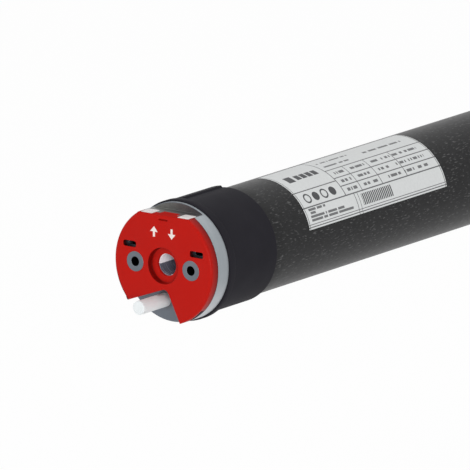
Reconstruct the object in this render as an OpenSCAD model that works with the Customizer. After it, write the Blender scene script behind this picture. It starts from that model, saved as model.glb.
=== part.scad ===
// Tubular roller blind motor of the 50 mm class.
// The head's face is at Y = 0 and the output shaft points along +Y.
// X is right as seen from the head, Z is up, and lengths are in millimetres.

/* [Tube] */
// Outside diameter of the motor tube
tube_od = 47; // [45:0.5:50]
// Wall of the motor tube
tube_wall = 1.2; // [0.8:0.1:1.5]
// How far the head's neck reaches into the tube
neck_grip = 15; // [12:1:25]

/* [Head] */
// How far the head stands proud of the tube, on the radius
head_proud = 1.8; // [1.4:0.1:2.4]
// Length of the head's block between the cover and the flange
block_length = 7.1; // [6.8:0.1:12]
// Thickness of the round flange behind the block
flange_thickness = 1.2; // [0.8:0.1:3]
// Depth of the top flat below the head's rim
flat_depth = 3.6; // [3.5:0.1:4]
// Wall of the hollow neck that carries the crown
neck_wall = 2.75; // [2.2:0.05:3.2]
// Distance between the two bracket screw holes
boss_spacing = 29; // [27:0.5:32]
// Outside diameter of a screw boss
boss_od = 8.6; // [7:0.1:10]
// Diameter of a bracket screw hole
boss_hole = 4.2; // [3:0.1:5]
// Depth of a bracket screw hole
boss_hole_depth = 10.5; // [8:0.5:11]

/* [Bracket socket] */
// Bore that takes the bracket's pin
socket_bore = 9; // [8:0.5:12]
// Wall of the steel bush
socket_wall = 2; // [1:0.25:2.5]
// Length of the steel bush
socket_length = 20; // [12:1:30]
// Wall of the head around the bush
socket_boss_wall = 2.5; // [1.5:0.25:3]

/* [Cover] */
// Thickness of the cover's plate
cover_thickness = 4; // [3.6:0.1:5]
// How far the cover's skirt reaches over the block
skirt_length = 0.9; // [0.5:0.1:2]
// Wall of the skirt
skirt_wall = 1.3; // [0.8:0.1:2]
// Rounding of the cover's front edge
cover_round = 1.1; // [0.4:0.1:1.3]
// Diameter of the shallow round recess in the middle
recess_d = 15.6; // [13:0.1:18]
// Depth of that recess
recess_depth = 2.8; // [1:0.1:3]
// Width of a latch slot
slot_width = 6.8; // [4:0.1:7]
// Height of a latch slot
slot_height = 2.6; // [1.5:0.1:4]
// Distance of a latch slot from the middle
slot_x = 17.4; // [16.5:0.1:18.5]
// Height of the latch slots above the axis
slot_z = 7.3; // [7:0.1:9]
// Depth of a latch slot into the block
slot_depth = 5; // [2:0.5:6]
// Width of the clip tab on the top flat
tab_width = 8.6; // [6:0.1:9]
// Reach of the clip tab over the block
tab_reach = 3; // [2:0.1:6]
// Thickness of the clip tab
tab_thickness = 1; // [0.6:0.1:1.4]

/* [Cable notch] */
// Corner of the notch, right of the axis
notch_x = 1.8; // [0:0.1:4]
// How far the notch's corner lies inside the neck's outside
notch_inset = 12.65; // [11.6:0.05:12.8]
// Direction of the notch's upper edge, from +X
notch_upper_angle = 200.6; // [195:0.2:205]
// Direction of the notch's lower edge, from +X
notch_lower_angle = 296; // [290:0.2:302]
// Rounding of the notch's corner
notch_round = 2.6; // [1:0.1:4]
// Depth of the notch from the head's face
notch_depth = 7; // [6:0.1:8]

/* [Supply cable] */
// Diameter of the supply cable
cable_d = 6; // [5:0.1:6.4]
// How far the cable's cut end stands in front of the head's face
cable_front = 11.7; // [9:0.1:60]
// Space between the cable and the notch's upper edge
cable_upper_gap = 1.3; // [1:0.05:1.8]
// Space between the cable and the notch's lower edge
cable_lower_gap = 5.2; // [4:0.1:6]
// Wall of the rubber grommet
grommet_wall = 1; // [0.6:0.1:1.2]
// Length of the plug behind the head's flange
plug_length = 16; // [14:0.5:20]
// How far the cable reaches into the plug
plug_socket = 12.6; // [10:0.1:13.5]
// Diameter of a supply lead behind the plug
lead_d = 1.4; // [1:0.1:1.6]
// Distance of a supply lead from the cable's middle
lead_radius = 1.8; // [1.6:0.1:2]

/* [Limit buttons] */
// Distance of a button from the middle
button_x = 9.5; // [9.3:0.05:9.6]
// Width of a button
button_width = 5.8; // [5:0.1:6]
// Length of a button along the motor
button_length = 6; // [5:0.1:6.2]
// Thickness of the cover in front of a button
button_front = 0.9; // [0.6:0.1:1.2]
// How far a button stands proud of the top flat
button_rise = 0.3; // [0:0.05:0.6]
// Height of a button's cap
button_height = 3; // [2.5:0.1:3.4]
// Travel of a button
button_travel = 1; // [0.5:0.05:1.2]
// Diameter of a button's stem
stem_d = 1.6; // [1.2:0.1:1.8]
// Length of a button's spring at rest
spring_length = 3.4; // [3:0.1:4]
// Wire of a button's spring
spring_wire = 0.3; // [0.2:0.02:0.34]
// Height of a button's switch
switch_height = 1.6; // [1:0.1:2]
// Thickness of the small board under the switches
button_board_thickness = 1.2; // [0.8:0.1:1.6]

/* [Crown] */
// How far the crown stands proud of the tube, on the radius
crown_proud = 1.25; // [1.1:0.05:2]
// Length of the crown
crown_length = 35; // [28:0.1:40]
// How far the crown's collar stands proud of the crown
collar_proud = 1.3; // [0.6:0.05:2]
// Length of the collar
collar_length = 3.9; // [2:0.1:6]
// Width of the key rib
rib_width = 7.2; // [5:0.1:9]
// Height of the key rib
rib_height = 0.85; // [0.5:0.05:1.2]
// Where the key rib lies, from +X towards +Z
rib_angle = 106; // [90:1:120]
// How far the key rib stops short of the crown's rear
rib_stop = 0.5; // [0.5:0.5:8]

/* [Turn counter] */
// Width of the counter's pinion
pinion_width = 5; // [4:0.5:6]
// How far the pinion lies behind the crown's front
pinion_set = 20.3; // [18:0.1:21]
// Diameter of the pinion's shaft
pinion_shaft_d = 2.4; // [2:0.1:2.8]
// Diameter of the magnet on that shaft
magnet_d = 4.4; // [3.6:0.1:4.6]
// Length of the magnet
magnet_length = 4; // [3:0.5:6]

/* [Label] */
// Distance of the label from the head's face
label_start = 73; // [60:0.1:90]
// Length of the label along the tube
label_length = 100; // [80:1:130]
// Where the label's lower edge lies, from +X towards +Z
label_angle = 11; // [0:1:30]
// How far the label wraps round the tube
label_wrap = 90; // [80:1:120]
// Thickness of the label
label_thickness = 0.12; // [0.08:0.01:0.2]

/* [Electronics] */
// Length of the electronics cradle
cradle_length = 92; // [85:1:110]
// Wall of the electronics cradle
cradle_wall = 1.5; // [1:0.1:2]
// Height of the control board above the cradle's floor
board_rise = 8.75; // [7.75:0.05:9.75]
// Thickness of the control board
board_thickness = 1.6; // [1.2:0.1:2]
// Length of a relay
relay_length = 19; // [15:0.5:20]
// Height of the relays
relay_height = 15; // [12:0.5:18]
// Length of the supply transformer
transformer_length = 26; // [20:0.5:28]
// Height of the supply transformer
transformer_height = 20; // [14:0.5:24]
// Diameter of the run capacitor
capacitor_d = 30; // [25:0.5:34]
// Length of the run capacitor
capacitor_length = 56; // [45:1:70]

/* [Motor] */
// Length of each end shield
shield_length = 8; // [7:0.5:12]
// Length of the stator core
stator_length = 55; // [40:1:80]
// Depth of the stator core from its outside to its bore
stator_depth = 10.25; // [9.75:0.05:11.25]
// Air gap between stator and rotor
air_gap = 0.3; // [0.25:0.05:0.5]
// How far the winding stands out of the core at each end
winding_overhang = 11; // [8:0.5:14]
// Diameter of the rotor shaft
shaft_d = 8; // [7:0.1:9]
// Outside diameter of a rotor bearing
bearing_od = 19; // [16:0.5:21]
// Width of a rotor bearing
bearing_width = 6; // [4:0.5:6]

/* [Brake] */
// Length of the brake magnet's yoke
yoke_length = 14; // [12:0.5:18]
// Travel of the brake armature
brake_travel = 0.6; // [0.3:0.05:0.8]
// Thickness of the brake armature
armature_thickness = 4; // [3:0.5:6]
// How far the circle of the brake's guide pins lies inside the tube's seat
guide_inset = 4.05; // [3.4:0.05:5]
// How far the brake disc stops short of that circle
disc_inset = 3.2; // [2:0.1:5]
// Thickness of the brake disc
brake_disc_thickness = 3; // [2:0.25:4]
// Thickness of the brake's back plate
backplate_thickness = 3.5; // [2.5:0.25:5]
// Depth of the spring pocket in the yoke
brake_spring_depth = 9; // [8:0.25:10]
// Wire of the brake spring
brake_spring_wire = 1.1; // [0.8:0.05:1.2]

/* [Gearbox] */
// Wall of the ring gear outside its teeth
ring_wall = 2.4; // [1.8:0.1:3]
// Width of the first stage's planets
planet_1_width = 8; // [6:0.5:12]
// Width of the second stage's planets
planet_2_width = 10; // [7:0.5:14]
// Width of the third stage's planets
planet_3_width = 14; // [10:0.5:18]
// Thickness of the first carrier
carrier_1_thickness = 3; // [2:0.25:5]
// Thickness of the second carrier
carrier_2_thickness = 3.5; // [2:0.25:5]
// Thickness of the output carrier
carrier_3_thickness = 6; // [4:0.25:8]
// Diameter of a planet's pin
planet_pin_d = 4.4; // [3.6:0.1:5]

/* [Output] */
// Length of the end cap inside the tube
cap_grip = 14; // [12:0.5:20]
// Thickness of the end cap outside the tube
cap_flange = 4; // [3:0.25:6]
// Diameter of the output journal
journal_d = 16; // [14:0.25:17]
// Wall of the output bush
bush_wall = 2; // [1.5:0.1:3]
// Diameter of the drive end
drive_d = 12; // [10:0.25:13]
// Length of the drive end
drive_length = 24; // [18:0.5:35]
// Depth of the flat on the drive end
drive_flat = 1.4; // [0.8:0.1:1.6]
// Thickness of the output circlip
circlip_thickness = 1.2; // [0.8:0.1:1.6]
// Diameter of a rivet's shank
rivet_d = 3; // [2.4:0.1:3.4]

/* [Hidden] */
$fn = 96;
// Space left between fixed pieces that follow each other in the tube
stack_gap = 0.3;
// Space round a piece that is pushed into the tube
seat_gap = 0.05;
// Space round a turning shaft or pin
running_gap = 0.05;
// Space round the crown on its neck
crown_gap = 0.1;
// Space round a sliding button
slide_gap = 0.2;
// Space between faces that rub or mesh beside each other
face_gap = 0.05;
// Glue between the tube and its label
label_glue = 0.04;
// Space between a rib, hole or cut and what it clears
small_gap = 0.15;
// Overlap that joins two bodies of one piece, or clears a cut's face
over = 0.5;

// Radii of the tube and of what stands round it
tube_r = tube_od / 2;
tube_bore_r = tube_r - tube_wall;
seat_r = tube_bore_r - seat_gap;
head_r = tube_r + head_proud;
crown_r = tube_r + crown_proud;
collar_r = crown_r + collar_proud;
neck_bore_r = seat_r - neck_wall;

// Places along the head
block_y = cover_thickness;
flange_y = block_y + block_length;
neck_y = flange_y + flange_thickness;
crown_y = neck_y + stack_gap;
crown_end = crown_y + crown_length;
tube_y = crown_end + stack_gap;
neck_end = tube_y + neck_grip;
flat_z = head_r - flat_depth;
step_r = head_r - skirt_wall;
socket_r = socket_bore / 2 + socket_wall;
socket_end = block_y + socket_length;

// Small features of the cover: the slit under the clip tab and the flat that a blade lifts
slit_width = 4.8;
slit_height = 0.7;
slit_depth = 1;
slit_drop = 1.5;
lift_angle = 52;
lift_depth = 0.9;
lift_width = 8;
lift_y = 1.6;

// The notch's corner, edges and the cable's place in it
notch_corner = [notch_x, notch_inset - seat_r];
notch_upper = [cos(notch_upper_angle), sin(notch_upper_angle)];
notch_lower = [cos(notch_lower_angle), sin(notch_lower_angle)];
notch_opening = notch_lower_angle - notch_upper_angle;
cable_r = cable_d / 2;
cable_at = notch_corner
    + notch_upper * (cable_r + cable_lower_gap) / sin(notch_opening)
    + notch_lower * (cable_r + cable_upper_gap) / sin(notch_opening);
grommet_r = cable_r + grommet_wall;
plug_y = neck_y;
plug_end = plug_y + plug_length;

// Heights of what lies under a button
button_top = flat_z + button_rise;
button_base = button_top - button_height;
button_floor = button_base - spring_length;
button_y = button_front + slide_gap;
button_end = button_y + button_length;
spring_mean_r = stem_d / 2 + small_gap + spring_wire;
spring_y = button_end - spring_mean_r - spring_wire;
floor_thickness = 1.5;
stem_reach = 1;
stem_end = button_floor - floor_thickness - stem_reach;
switch_size = 3.2;
board_margin = 2;
least_board_length = 4.4;
switch_top = stem_end - button_travel - slide_gap;
button_board_top = switch_top - switch_height;
button_board_floor = button_board_top - button_board_thickness;
button_board_width = 2 * (button_x + board_margin) + switch_size;
button_board_y = block_y + small_gap;
switch_y = max(button_board_y, spring_y - switch_size / 2);
button_board_end = max(spring_y + switch_size / 2 + small_gap, block_y + least_board_length);

// Teeth of the crown and of the counter's pinion
crown_teeth = 92;
pinion_teeth = 16;
pressure_angle = 25;
addendum = 0.9;
dedendum = 1.15;
counter_backlash = 0.16;
crown_bore_r = seat_r + crown_gap;
tooth_setback = 0.2;
crown_tip_r = crown_bore_r + tooth_setback;
counter_module = 2 * crown_tip_r / (crown_teeth - 2 * addendum);
counter_radius = counter_module * (crown_teeth - pinion_teeth) / 2;
counter_angle = 160;
pinion_tip_r = counter_module * (pinion_teeth / 2 + addendum);
pinion_clearance = 0.5;
pinion_y = crown_y + pinion_set;
pad_length = 5.5;
pad_wall = 2;
pad_r = pinion_shaft_d / 2 + pad_wall;
magnet_y = pinion_y + pinion_width + pinion_clearance + pad_length + stack_gap;

// Places inside the tube, in order from the head
cradle_y = neck_end + stack_gap;
cradle_end = cradle_y + cradle_length;
cradle_r = seat_r;
cradle_bore_r = cradle_r - cradle_wall;
capacitor_y = cradle_end + stack_gap;
front_shield_y = capacitor_y + capacitor_length + stack_gap;
winding_space = 1;
stator_y = front_shield_y + shield_length + winding_overhang + winding_space;
rear_shield_y = stator_y + stator_length + winding_overhang + winding_space;
yoke_y = rear_shield_y + shield_length + stack_gap;
armature_y = yoke_y + yoke_length + brake_travel;
disc_y = armature_y + armature_thickness + face_gap;
backplate_y = disc_y + brake_disc_thickness + face_gap;
gear_y = backplate_y + backplate_thickness + stack_gap;

// What stands on the control board, and the header under it
board_drop = cradle_bore_r - board_rise;
board_half = sqrt(pow(cradle_bore_r, 2) - pow(board_drop, 2)) - stack_gap;
board_set = 1;
cradle_rise = 2.5;
ledge_width = 4.8;
ledge_out = 1;
ledge_thickness = 1.5;
relay_set = 6;
relay_x = 7;
relay_width = 12;
box_space = 4;
transformer_width = 22;
radio_width = 16;
radio_height = 4;
relay_y = cradle_y + relay_set;
transformer_y = relay_y + relay_length + box_space;
radio_y = transformer_y + transformer_length + box_space;
radio_end = cradle_end - relay_set;
header_set = 4;
header_y = cradle_y + header_set;
header_length = 10;
header_width = 7;
header_drop = 2.4;
holder_length = 8;

// The motor: bearings, shaft and the slots of the stator core
shaft_float = 0.5;
shield_pocket = 0.8;
front_bearing_y = front_shield_y + shield_length - bearing_width;
rear_bearing_y = rear_shield_y;
shaft_y = front_bearing_y - shaft_float;
stator_slots = 12;
tooth_lip = 1.2;
core_back = 3.8;
coil_slot_width = 3.2;
coil_slot_mouth = 1.2;
stator_bore_r = seat_r - stator_depth;
coil_slot_low = stator_bore_r + tooth_lip;
coil_slot_high = seat_r - core_back;
winding_inset = 0.3;
winding_spread = 1.2;
rotor_over = 1.5;

// The brake magnet: spring pocket, coil groove and guide pins
spring_pocket_space = 1.2;
coil_inner_wall = 1.4;
coil_width = 4.4;
yoke_rim = 6.85;
coil_floor = 3;
coil_cover = 1;
coil_inset = 0.2;
coil_high = seat_r - yoke_rim;
coil_low = coil_high - coil_width;
spring_pocket_high = coil_low - coil_inner_wall;
spring_pocket_low = spring_pocket_high - 2 * brake_spring_wire - spring_pocket_space;
coil_depth = yoke_length - coil_floor;
guide_pin_r = 1.3;
guide_radius = seat_r - guide_inset;
brake_disc_r = guide_radius - disc_inset;
guide_angles = [90, 210, 330];
armature_rim = 1.6;

// Gear stages: a sun, three planets and a carrier each, in one ring gear
sun_teeth = 12;
ring_teeth = 54;
planet_teeth = (ring_teeth - sun_teeth) / 2;
planet_count = 3;
gear_backlash = 0.2;
gear_module = 2 * (seat_r - ring_wall) / (ring_teeth + 2 * dedendum);
planet_radius = gear_module * (sun_teeth + planet_teeth) / 2;
ring_tip_r = gear_module * (ring_teeth / 2 - addendum);
carrier_space = 0.9;
carrier_r = ring_tip_r - carrier_space;
stage_gap = 0.6;
planet_widths = [planet_1_width, planet_2_width, planet_3_width];
carrier_thicknesses = [carrier_1_thickness, carrier_2_thickness, carrier_3_thickness];
function carrier_y(s) = stage_y(s) + planet_widths[s] + stack_gap;
function carrier_end(s) = carrier_y(s) + carrier_thicknesses[s];
function stage_y(s) = stage_gap + (s == 0 ? gear_y : carrier_end(s - 1));
ring_end = carrier_end(2) + stage_gap;
sun_wall = 1;
sun_shaft_r = gear_module * (sun_teeth / 2 - dedendum) - sun_wall;

// The output end
cap_spigot_y = ring_end + stack_gap;
cap_y = cap_spigot_y + cap_grip;
cap_end = cap_y + cap_flange;
tube_length = cap_y - tube_y;
journal_r = journal_d / 2;
bush_r = journal_r + running_gap + bush_wall;
circlip_y = cap_end + stack_gap;
circlip_groove_depth = 0.8;
circlip_groove_r = journal_r - circlip_groove_depth;
circlip_opening = 8;
circlip_shoulder = 1.5;
journal_end = circlip_y + circlip_thickness + circlip_shoulder;
drive_end = journal_end + drive_length;
hex_drop = 1.4;
hex_r = journal_r - hex_drop;

// Rivets: where they sit and how tall their heads are
rivet_r = rivet_d / 2;
rivet_rim = 1.05;
rivet_head_r = rivet_r + rivet_rim;
rivet_head = 0.7;
head_rivet_y = tube_y + neck_grip / 2;
head_rivet_angles = [135, 225];
cap_rivet_y = cap_y - cap_grip / 2;
cap_rivet_angles = [45, 135, 225, 315];
cap_wall = 3;

// Colours as the photo shows them
red = [0.68, 0.12, 0.09];
zinc = [0.56, 0.58, 0.60];
steel = [0.78, 0.76, 0.80];
black = [0.18, 0.18, 0.20];
paint = [0.24, 0.24, 0.24];
white = [0.88, 0.88, 0.88];
label_grey = [0.84, 0.85, 0.86];
rubber = [0.30, 0.31, 0.33];
green = [0.10, 0.35, 0.22];
copper = [0.72, 0.42, 0.22];
iron = [0.45, 0.45, 0.47];
brass = [0.75, 0.62, 0.32];
nylon = [0.86, 0.85, 0.80];
tan = [0.75, 0.70, 0.62];
blue = [0.12, 0.25, 0.50];

// Turns local Z into the motor's axis, from y onwards; local X stays X and local Y becomes Z
module along(y = 0) {
    translate([0, y, 0]) rotate([90, 0, 0]) mirror([0, 0, 1]) children();
}

// A round tube along the axis
module ring(y, length, outer, inner) {
    along(y) difference() {
        cylinder(h = length, r = outer);
        translate([0, 0, -over]) cylinder(h = length + 2 * over, r = inner);
    }
}

// A block between two corners
module block(low, high) {
    translate(low) cube(high - low);
}

// Polar angle of an involute at radius r above its base circle, in degrees
function involute(r, base) = let(c = min(1, base / r), a = acos(c)) tan(a) * 180 / PI - a;

// Outline of a gear: inner and outer give its lowest and highest radius, play thins its teeth
function gear_outline(teeth, module_mm, inner, outer, play) =
    let(pitch = module_mm * teeth / 2,
        base = pitch * cos(pressure_angle),
        half = 90 / teeth - play / pitch * 90 / PI + involute(pitch, base),
        start = max(base, inner),
        flank = [inner, start, (start + outer) / 2, outer],
        radii = inner < base ? flank : [for (k = [1 : 3]) flank[k]],
        last = len(radii) - 1)
    [for (t = [0 : teeth - 1]) each concat(
        [for (k = [0 : last]) let(a = t * 360 / teeth - half + involute(max(radii[k], base), base))
            radii[k] * [cos(a), sin(a)]],
        [for (k = [last : -1 : 0]) let(a = t * 360 / teeth + half - involute(max(radii[k], base), base))
            radii[k] * [cos(a), sin(a)]])];

module external_gear(teeth, module_mm, width, play) {
    linear_extrude(width) polygon(gear_outline(teeth, module_mm,
        module_mm * (teeth / 2 - dedendum), module_mm * (teeth / 2 + addendum), play));
}

// The space that an internal gear leaves: its bore and the gaps between its teeth
module internal_gear_space(teeth, module_mm, width, play) {
    tip = module_mm * (teeth / 2 - addendum);
    linear_extrude(width) polygon(gear_outline(teeth, module_mm,
        tip - module_mm / 5, module_mm * (teeth / 2 + dedendum), -play));
    cylinder(h = width, r = tip);
}

// A coil spring along local Z as one unbroken tube of six sides with eight rings a curl
module coil_spring(length, mean_r, wire, curls) {
    sides = 6;
    rings = 8 * curls;
    rise = (length - wire) / rings;
    slope = atan2(rise * 8, 2 * PI * mean_r);
    points = [for (k = [0 : rings]) for (j = [0 : sides - 1])
        let(turn = k * 45,
            a = j * 360 / sides,
            out = mean_r + wire / 2 * cos(a),
            up = wire / 2 * sin(a))
        [out * cos(turn) + up * sin(slope) * sin(turn),
         out * sin(turn) - up * sin(slope) * cos(turn),
         wire / 2 + k * rise + up * cos(slope)]];
    walls = [for (k = [0 : rings - 1]) for (j = [0 : sides - 1])
        let(a = k * sides + j, b = k * sides + (j + 1) % sides)
        each [[a, b + sides, b], [a, a + sides, b + sides]]];
    first = [for (j = [1 : sides - 2]) [0, j, j + 1]];
    end = rings * sides;
    second = [for (j = [1 : sides - 2]) [end, end + j + 1, end + j]];
    echo(least_gap_of_spring = 8 * rise * cos(slope) - wire);
    polyhedron(points, concat(walls, first, second));
}

// Rivets set into the tube from outside: shank, and a flat head on the tube's skin
module rivets(y, angles, inner) {
    for (a = angles) rotate([0, -a, 0]) translate([inner, y, 0]) rotate([0, 90, 0]) {
        cylinder(h = tube_r - inner + over, r = rivet_r);
        translate([0, 0, tube_r - inner]) cylinder(h = rivet_head, r = rivet_head_r);
    }
}

// Holes for those rivets
module rivet_holes(y, angles, inner) {
    for (a = angles) rotate([0, -a, 0]) translate([inner - over, y, 0]) rotate([0, 90, 0])
        cylinder(h = tube_r - inner + 2 * over, r = rivet_r);
}

// The notch's outline, seen from the front: a corner with a round, open to the rim
module notch_outline() {
    far = 3 * head_r;
    back = notch_round / tan(notch_opening / 2);
    middle = (notch_upper + notch_lower) / norm(notch_upper + notch_lower);
    start = notch_corner + notch_upper * back;
    end = notch_corner + notch_lower * back;
    polygon([start, start + notch_upper * far, notch_corner + middle * 2 * far,
        end + notch_lower * far, end]);
    translate(notch_corner + middle * notch_round / sin(notch_opening / 2)) circle(notch_round);
}

// A latch slot, seen from the front: straight sides and round ends
module slot_outline() {
    for (side = [-1, 1]) translate([side * slot_x, slot_z]) {
        square([slot_width - slot_height, slot_height], center = true);
        for (end = [-1, 1]) translate([end * (slot_width - slot_height) / 2, 0]) circle(slot_height / 2);
    }
}

// The space that the two buttons slide in, open at the top flat
module button_pockets() {
    for (side = [-1, 1])
        block([side * button_x - button_width / 2 - slide_gap, button_front, button_floor],
            [side * button_x + button_width / 2 + slide_gap, button_end + slide_gap, head_r + over]);
}

module head_cover() {
    color(red) difference() {
        union() {
            along() rotate_extrude() {
                square([head_r - cover_round, cover_thickness]);
                translate([0, cover_round]) square([head_r, cover_thickness - cover_round]);
                translate([head_r - cover_round, cover_round]) circle(cover_round);
                translate([step_r, cover_thickness - over]) square([skirt_wall, skirt_length + over]);
            }
            block([-tab_width / 2, cover_thickness - over, flat_z - tab_thickness],
                [tab_width / 2, block_y + tab_reach, flat_z]);
        }
        block([-head_r, -over, flat_z], [head_r, flange_y, head_r + over]);
        along(-over) linear_extrude(flange_y) {
            notch_outline();
            slot_outline();
        }
        along(-over) {
            cylinder(h = recess_depth + over, r = recess_d / 2);
            cylinder(h = flange_y, r = socket_bore / 2 + 2 * small_gap);
            for (side = [-1, 1]) translate([side * boss_spacing / 2, 0, 0])
                cylinder(h = flange_y, r = boss_od / 2);
        }
        button_pockets();
        // The slit that lets the clip tab bend
        block([-slit_width / 2, -over, flat_z - slit_drop - slit_height],
            [slit_width / 2, slit_depth, flat_z - slit_drop]);
        // The flat where a blade lifts the cover off
        rotate([0, lift_angle, 0]) block([head_r - lift_depth, lift_y, -lift_width / 2],
            [head_r + over, block_y + skirt_length + over, lift_width / 2]);
    }
}

module head_body() {
    pinion_at = counter_radius * [cos(counter_angle), sin(counter_angle)];
    color(zinc) difference() {
        union() {
            difference() {
                union() {
                    along(block_y) cylinder(h = flange_y - block_y + over, r = step_r);
                    along(block_y + skirt_length)
                        cylinder(h = block_length - skirt_length + over, r = head_r);
                }
                block([-head_r, 0, flat_z], [head_r, flange_y, head_r + over]);
                block([-tab_width / 2, 0, flat_z - tab_thickness],
                    [tab_width / 2, block_y + tab_reach, head_r]);
                button_pockets();
                along(-over) linear_extrude(notch_depth + over) notch_outline();
            }
            along(flange_y) cylinder(h = flange_thickness, r = head_r);
            ring(neck_y - over, neck_end - neck_y + over, seat_r, neck_bore_r);
            along(neck_y - over) cylinder(h = socket_end - neck_y + over, r = socket_r + socket_boss_wall);
            for (side = [-1, 1]) along() translate([side * boss_spacing / 2, 0, 0])
                cylinder(h = block_y + over, r = boss_od / 2);
            // Pads in the neck that carry the counter's shaft, before and behind its window
            intersection() {
                along(pinion_y - pinion_clearance - pad_length) translate(pinion_at)
                    cylinder(h = 2 * pad_length + 2 * pinion_clearance + pinion_width, r = pad_r);
                along(neck_y) cylinder(h = neck_end - neck_y, r = seat_r);
            }
        }
        along(block_y - over) cylinder(h = socket_length + 2 * over, r = socket_r);
        for (side = [-1, 1]) along(-over) translate([side * boss_spacing / 2, 0, 0])
            cylinder(h = boss_hole_depth + over, r = boss_hole / 2);
        along(block_y - over) linear_extrude(slot_depth + over) slot_outline();
        // The cable's way through the flange, and the plug's room beside the neck's wall
        along(notch_depth - over) translate(cable_at) cylinder(h = neck_end, r = grommet_r);
        // Room for the small board, its switches and the button stems
        block([-button_board_width / 2 - small_gap, block_y - over, button_board_floor],
            [button_board_width / 2 + small_gap, button_board_end + small_gap,
                button_floor - floor_thickness]);
        for (side = [-1, 1]) translate([side * button_x, spring_y, button_floor - floor_thickness - over])
            cylinder(h = floor_thickness + 2 * over, r = stem_d / 2 + small_gap);
        // The counter: its window, its shaft and its magnet
        along(pinion_y - pinion_clearance) translate(pinion_at)
            cylinder(h = pinion_width + 2 * pinion_clearance, r = pinion_tip_r + pinion_clearance);
        along(neck_y + over) translate(pinion_at)
            cylinder(h = neck_end, r = pinion_shaft_d / 2 + running_gap);
        along(magnet_y - stack_gap) translate(pinion_at)
            cylinder(h = neck_end, r = magnet_d / 2 + stack_gap);
        rivet_holes(head_rivet_y, head_rivet_angles, neck_bore_r);
    }
}

module bracket_socket() {
    color(steel) ring(block_y, socket_length, socket_r, socket_bore / 2);
}

module limit_button(side) {
    color(white) {
        block([side * button_x - button_width / 2, button_y, button_base],
            [side * button_x + button_width / 2, button_end, button_top]);
        translate([side * button_x, spring_y, stem_end])
            cylinder(h = button_base - stem_end + over, r = stem_d / 2);
    }
}

module button_spring(side) {
    color(steel) translate([side * button_x, spring_y, button_floor + face_gap / 2])
        coil_spring(spring_length - face_gap, spring_mean_r, spring_wire, 4);
}

module button_board() {
    color(green) block([-button_board_width / 2, button_board_y, button_board_floor],
        [button_board_width / 2, button_board_end, button_board_top]);
}

module button_switches() {
    color(black) for (side = [-1, 1])
        block([side * button_x - switch_size / 2, switch_y, button_board_top],
            [side * button_x + switch_size / 2, spring_y + switch_size / 2, switch_top]);
}

module supply_cable() {
    color(white) along(-cable_front) translate(cable_at)
        cylinder(h = cable_front + plug_y + plug_socket, r = cable_r);
}

module cable_grommet() {
    color(rubber) along() translate([cable_at.x, cable_at.y, notch_depth]) difference() {
        cylinder(h = plug_y - notch_depth, r = grommet_r);
        translate([0, 0, -over]) cylinder(h = plug_y, r = cable_r);
    }
}

module cable_plug() {
    color(black) along(plug_y) translate(cable_at) difference() {
        cylinder(h = plug_length, r = grommet_r);
        translate([0, 0, -over]) cylinder(h = plug_socket + over, r = cable_r);
    }
}

module power_leads() {
    color(copper) along(plug_end) translate(cable_at) for (k = [0 : 2]) rotate(k * 120)
        translate([lead_radius, 0, 0]) cylinder(h = header_y - plug_end, r = lead_d / 2);
}

module drive_crown() {
    edge = 0.4;
    color(black) difference() {
        union() {
            along(crown_y) rotate_extrude() polygon([
                [crown_bore_r, 0], [collar_r - edge, 0], [collar_r, edge],
                [collar_r, collar_length - edge], [collar_r - edge, collar_length],
                [crown_r, collar_length], [crown_r, crown_length - edge],
                [crown_r - edge, crown_length], [crown_bore_r, crown_length]]);
            intersection() {
                ring(crown_y + collar_length - over, crown_length - collar_length - rib_stop + over,
                    crown_r + rib_height, crown_r - over);
                rotate([0, -rib_angle, 0]) block([0, 0, -rib_width / 2], [collar_r, tube_y, rib_width / 2]);
            }
        }
        along(pinion_y - pinion_clearance) rotate(counter_angle) internal_gear_space(crown_teeth,
            counter_module, pinion_width + 2 * pinion_clearance, counter_backlash / 2);
    }
}

module encoder_pinion() {
    color(nylon) along(pinion_y) rotate(counter_angle) translate([counter_radius, 0, 0]) {
        external_gear(pinion_teeth, counter_module, pinion_width, counter_backlash / 2);
        translate([0, 0, -pinion_clearance - pad_length])
            cylinder(h = magnet_y + magnet_length - pinion_y + pinion_clearance + pad_length,
                r = pinion_shaft_d / 2);
    }
}

module encoder_magnet() {
    color(iron) along(magnet_y) rotate(counter_angle) translate([counter_radius, 0, 0]) difference() {
        cylinder(h = magnet_length, r = magnet_d / 2);
        translate([0, 0, -over]) cylinder(h = magnet_length + 2 * over, r = pinion_shaft_d / 2);
    }
}

module motor_tube() {
    color(paint) difference() {
        ring(tube_y, tube_length, tube_r, tube_bore_r);
        rivet_holes(head_rivet_y, head_rivet_angles, neck_bore_r);
        rivet_holes(cap_rivet_y, cap_rivet_angles, seat_r - cap_wall);
    }
}

module rating_label() {
    color(label_grey) along(label_start) rotate(label_angle) rotate_extrude(angle = label_wrap)
        translate([tube_r + label_glue, 0]) square([label_thickness, label_length]);
}

module head_rivets() {
    color(steel) rivets(head_rivet_y, head_rivet_angles, neck_bore_r);
}

module electronics_cradle() {
    color(nylon) {
        difference() {
            ring(cradle_y, cradle_length, cradle_r, cradle_bore_r);
            block([-head_r, cradle_y - over, cradle_rise - board_drop],
                [head_r, cradle_end + over, head_r]);
        }
        intersection() {
            along(cradle_y) cylinder(h = cradle_length, r = cradle_bore_r + cradle_wall / 2);
            for (side = [-1, 1]) translate([side * (board_half + ledge_out), 0, 0])
                block([-ledge_width / 2, cradle_y, -board_drop - ledge_thickness],
                    [ledge_width / 2, cradle_end, -board_drop]);
        }
    }
}

module control_board() {
    color(green) block([-board_half, cradle_y + board_set, -board_drop],
        [board_half, cradle_end - board_set, board_thickness - board_drop]);
}

// A box that stands on the control board, from y onwards
module board_box(y, length, x, width, height) {
    translate([x - width / 2, y, board_thickness - board_drop]) cube([width, length, height]);
}

module switching_relays() {
    color(blue) for (side = [-1, 1])
        board_box(relay_y, relay_length, side * relay_x, relay_width, relay_height);
}

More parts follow.
